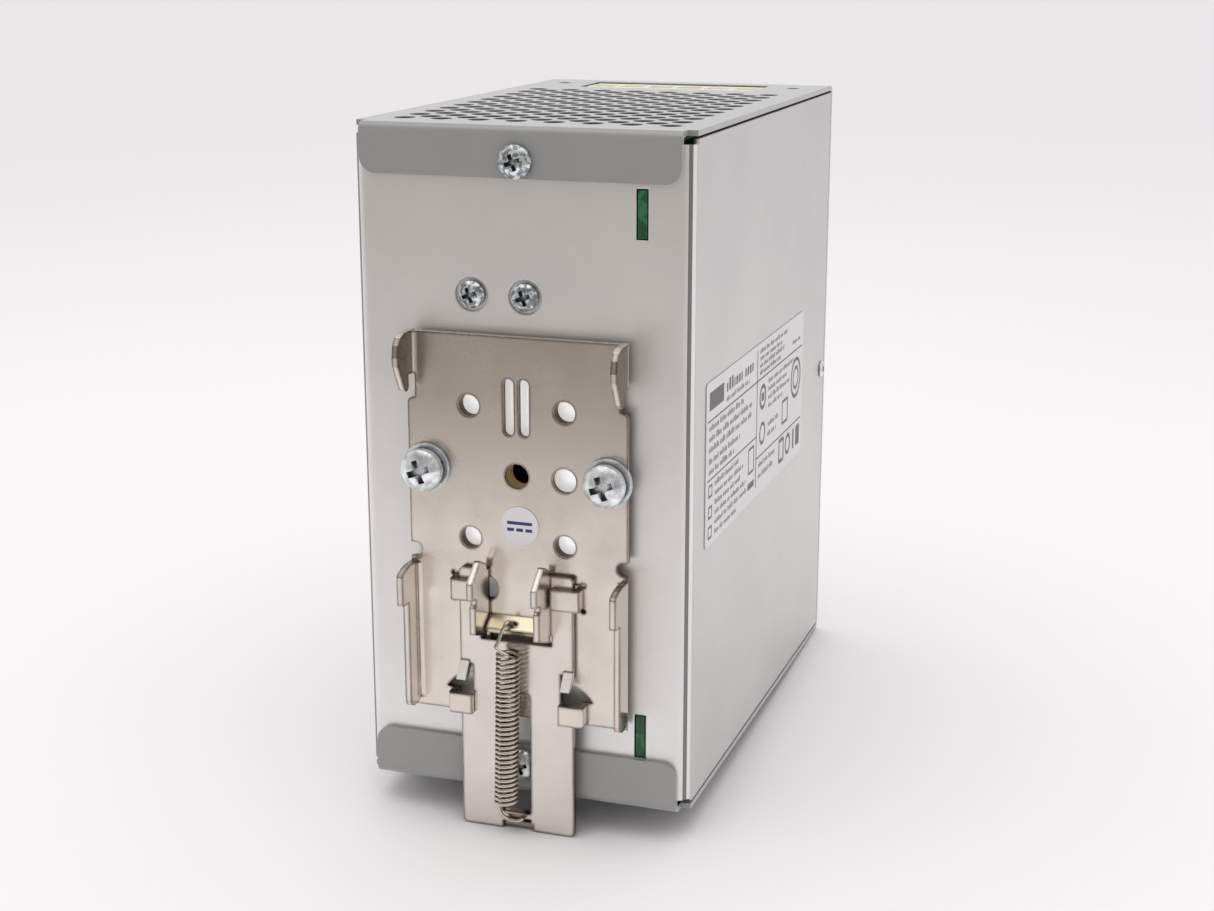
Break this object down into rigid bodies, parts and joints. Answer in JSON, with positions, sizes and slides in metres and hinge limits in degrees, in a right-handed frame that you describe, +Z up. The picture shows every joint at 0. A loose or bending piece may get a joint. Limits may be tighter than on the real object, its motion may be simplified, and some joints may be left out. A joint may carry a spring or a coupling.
{
  "type": "din rail power supply",
  "caption": "Sheet-metal rail-mount power supply with a hooked clip plate, sprung latch slider, vented cover, screw terminals and front controls.",
  "frame": {"origin": "centre of the rail seat on the clip plate's outer face", "axes": "+Z up, +Y out of the back towards the rail, +X across the width; the terminals' screws face -Y"},
  "size_m": [0.0646, 0.1176, 0.1297],
  "materials": {
    "bare_panel": "satin, fine rolled grain",
    "grey_paint": "semi-matt powder coat",
    "clip_nickel": "satin nickel plate",
    "latch_nickel": "satin nickel plate",
    "spring_nickel": "drawn wire, nickel plate",
    "bright_zinc": "blue passivated zinc",
    "overlay_film": "textured film",
    "label_film": "printed film",
    "sticker_paper": "coated paper",
    "board_green": "solder mask",
    "insulation_film": "polypropylene film",
    "black_plastic": "moulded",
    "ferrite": "ground ferrite",
    "winding_tape": "polyester tape",
    "can_sleeve": "shrink sleeve",
    "copper_winding": "enamelled copper",
    "film_cap_yellow": "moulded box",
    "sink_aluminium": "extruded",
    "terminal_cream": "moulded polyamide",
    "contact_tin": "tinned",
    "knob_plastic": "moulded",
    "light_pipe_clear": "moulded clear",
    "light_body": "moulded",
    "selector_red": "moulded",
    "terminal_steel": "zinc plate"
  },
  "bodies": {
    "case": {"chassis": "bare_panel", "cover": "grey_paint", "clip_plate": "clip_nickel", "latch_spring": "spring_nickel", "clip_screws": "bright_zinc", "clip_flat_washers": "bright_zinc", "clip_spring_washers": "bright_zinc", "cover_screws": "bright_zinc", "heat_sink_screws": "bright_zinc", "side_screws": "bright_zinc", "clip_nuts": "bright_zinc", "front_overlay": "overlay_film", "rating_label": "label_film", "polarity_sticker": "sticker_paper", "main_board": "board_green", "front_board": "board_green", "insulation_sheet": "insulation_film", "board_header": "black_plastic", "transformer_core": "ferrite", "transformer_winding": "winding_tape", "bulk_capacitors": "can_sleeve", "output_capacitors": "can_sleeve", "output_inductor": "copper_winding", "emi_choke": "copper_winding", "x_capacitor": "film_cap_yellow", "fuse": "black_plastic", "bridge_rectifier": "black_plastic", "switching_transistor": "black_plastic", "output_rectifier": "black_plastic", "primary_heat_sink": "sink_aluminium", "secondary_heat_sink": "sink_aluminium", "output_terminal_housing": "terminal_cream", "input_terminal_housing": "terminal_cream", "output_terminal_contacts": "contact_tin", "input_terminal_contacts": "contact_tin", "adjuster_body": "black_plastic", "light_pipes": "light_pipe_clear", "status_lights": "light_body", "selector_body": "black_plastic"},
    "latch": {"latch_slider": "latch_nickel"},
    "adjuster": {"adjuster_knob": "knob_plastic"},
    "selector": {"selector_lever": "selector_red"},
    "output_terminal_screw_1": {"output_terminal_screw_1": "terminal_steel"},
    "output_terminal_cage_1": {"output_terminal_cage_1": "contact_tin"},
    "output_terminal_screw_2": {"output_terminal_screw_2": "terminal_steel"},
    "output_terminal_cage_2": {"output_terminal_cage_2": "contact_tin"},
    "output_terminal_screw_3": {"output_terminal_screw_3": "terminal_steel"},
    "output_terminal_cage_3": {"output_terminal_cage_3": "contact_tin"},
    "output_terminal_screw_4": {"output_terminal_screw_4": "terminal_steel"},
    "output_terminal_cage_4": {"output_terminal_cage_4": "contact_tin"},
    "output_terminal_screw_5": {"output_terminal_screw_5": "terminal_steel"},
    "output_terminal_cage_5": {"output_terminal_cage_5": "contact_tin"},
    "output_terminal_screw_6": {"output_terminal_screw_6": "terminal_steel"},
    "output_terminal_cage_6": {"output_terminal_cage_6": "contact_tin"},
    "input_terminal_screw_1": {"input_terminal_screw_1": "terminal_steel"},
    "input_terminal_cage_1": {"input_terminal_cage_1": "contact_tin"},
    "input_terminal_screw_2": {"input_terminal_screw_2": "terminal_steel"},
    "input_terminal_cage_2": {"input_terminal_cage_2": "contact_tin"},
    "input_terminal_screw_3": {"input_terminal_screw_3": "terminal_steel"},
    "input_terminal_cage_3": {"input_terminal_cage_3": "contact_tin"}
  },
  "joints": [
    {"name": "latch_slide", "type": "slide", "parent": "case", "child": "latch", "axis": [0, 0, -1], "range_m": [0, 0.0025], "stiffness_N_per_m": 1800, "springref_m": -0.006, "deforming": ["latch_spring"]},
    {"name": "adjuster_turn", "type": "hinge", "parent": "case", "child": "adjuster", "pos_m": [0.013, -0.1, 0.031], "axis": [0, -1, 0], "range_deg": [-135, 135]},
    {"name": "selector_slide", "type": "slide", "parent": "case", "child": "selector", "axis": [0, 0, -1], "range_m": [0, 0.004]},
    {"name": "output_terminal_screw_1_turn", "type": "hinge", "parent": "case", "child": "output_terminal_screw_1", "pos_m": [-0.01588, -0.1, 0.051], "axis": [0, 1, 0], "range_deg": [0, 1800]},
    {"name": "output_terminal_cage_1_rise", "type": "slide", "parent": "case", "child": "output_terminal_cage_1", "axis": [0, -1, 0], "range_m": [0, 0.0025]},
    {"name": "output_terminal_screw_2_turn", "type": "hinge", "parent": "case", "child": "output_terminal_screw_2", "pos_m": [-0.00953, -0.1, 0.051], "axis": [0, 1, 0], "range_deg": [0, 1800]},
    {"name": "output_terminal_cage_2_rise", "type": "slide", "parent": "case", "child": "output_terminal_cage_2", "axis": [0, -1, 0], "range_m": [0, 0.0025]},
    {"name": "output_terminal_screw_3_turn", "type": "hinge", "parent": "case", "child": "output_terminal_screw_3", "pos_m": [-0.00317, -0.1, 0.051], "axis": [0, 1, 0], "range_deg": [0, 1800]},
    {"name": "output_terminal_cage_3_rise", "type": "slide", "parent": "case", "child": "output_terminal_cage_3", "axis": [0, -1, 0], "range_m": [0, 0.0025]},
    {"name": "output_terminal_screw_4_turn", "type": "hinge", "parent": "case", "child": "output_terminal_screw_4", "pos_m": [0.00317, -0.1, 0.051], "axis": [0, 1, 0], "range_deg": [0, 1800]},
    {"name": "output_terminal_cage_4_rise", "type": "slide", "parent": "case", "child": "output_terminal_cage_4", "axis": [0, -1, 0], "range_m": [0, 0.0025]},
    {"name": "output_terminal_screw_5_turn", "type": "hinge", "parent": "case", "child": "output_terminal_screw_5", "pos_m": [0.00953, -0.1, 0.051], "axis": [0, 1, 0], "range_deg": [0, 1800]},
    {"name": "output_terminal_cage_5_rise", "type": "slide", "parent": "case", "child": "output_terminal_cage_5", "axis": [0, -1, 0], "range_m": [0, 0.0025]},
    {"name": "output_terminal_screw_6_turn", "type": "hinge", "parent": "case", "child": "output_terminal_screw_6", "pos_m": [0.01588, -0.1, 0.051], "axis": [0, 1, 0], "range_deg": [0, 1800]},
    {"name": "output_terminal_cage_6_rise", "type": "slide", "parent": "case", "child": "output_terminal_cage_6", "axis": [0, -1, 0], "range_m": [0, 0.0025]},
    {"name": "input_terminal_screw_1_turn", "type": "hinge", "parent": "case", "child": "input_terminal_screw_1", "pos_m": [-0.00635, -0.1, -0.051], "axis": [0, 1, 0], "range_deg": [0, 1800]},
    {"name": "input_terminal_cage_1_rise", "type": "slide", "parent": "case", "child": "input_terminal_cage_1", "axis": [0, -1, 0], "range_m": [0, 0.0025]},
    {"name": "input_terminal_screw_2_turn", "type": "hinge", "parent": "case", "child": "input_terminal_screw_2", "pos_m": [0, -0.1, -0.051], "axis": [0, 1, 0], "range_deg": [0, 1800]},
    {"name": "input_terminal_cage_2_rise", "type": "slide", "parent": "case", "child": "input_terminal_cage_2", "axis": [0, -1, 0], "range_m": [0, 0.0025]},
    {"name": "input_terminal_screw_3_turn", "type": "hinge", "parent": "case", "child": "input_terminal_screw_3", "pos_m": [0.00635, -0.1, -0.051], "axis": [0, 1, 0], "range_deg": [0, 1800]},
    {"name": "input_terminal_cage_3_rise", "type": "slide", "parent": "case", "child": "input_terminal_cage_3", "axis": [0, -1, 0], "range_m": [0, 0.0025]}
  ],
  "couplings": [
    {"joint": "output_terminal_screw_1_turn", "follows": "output_terminal_cage_1_rise", "rad_per_m": 12566},
    {"joint": "output_terminal_screw_2_turn", "follows": "output_terminal_cage_2_rise", "rad_per_m": 12566},
    {"joint": "output_terminal_screw_3_turn", "follows": "output_terminal_cage_3_rise", "rad_per_m": 12566},
    {"joint": "output_terminal_screw_4_turn", "follows": "output_terminal_cage_4_rise", "rad_per_m": 12566},
    {"joint": "output_terminal_screw_5_turn", "follows": "output_terminal_cage_5_rise", "rad_per_m": 12566},
    {"joint": "output_terminal_screw_6_turn", "follows": "output_terminal_cage_6_rise", "rad_per_m": 12566},
    {"joint": "input_terminal_screw_1_turn", "follows": "input_terminal_cage_1_rise", "rad_per_m": 12566},
    {"joint": "input_terminal_screw_2_turn", "follows": "input_terminal_cage_2_rise", "rad_per_m": 12566},
    {"joint": "input_terminal_screw_3_turn", "follows": "input_terminal_cage_3_rise", "rad_per_m": 12566}
  ]
}
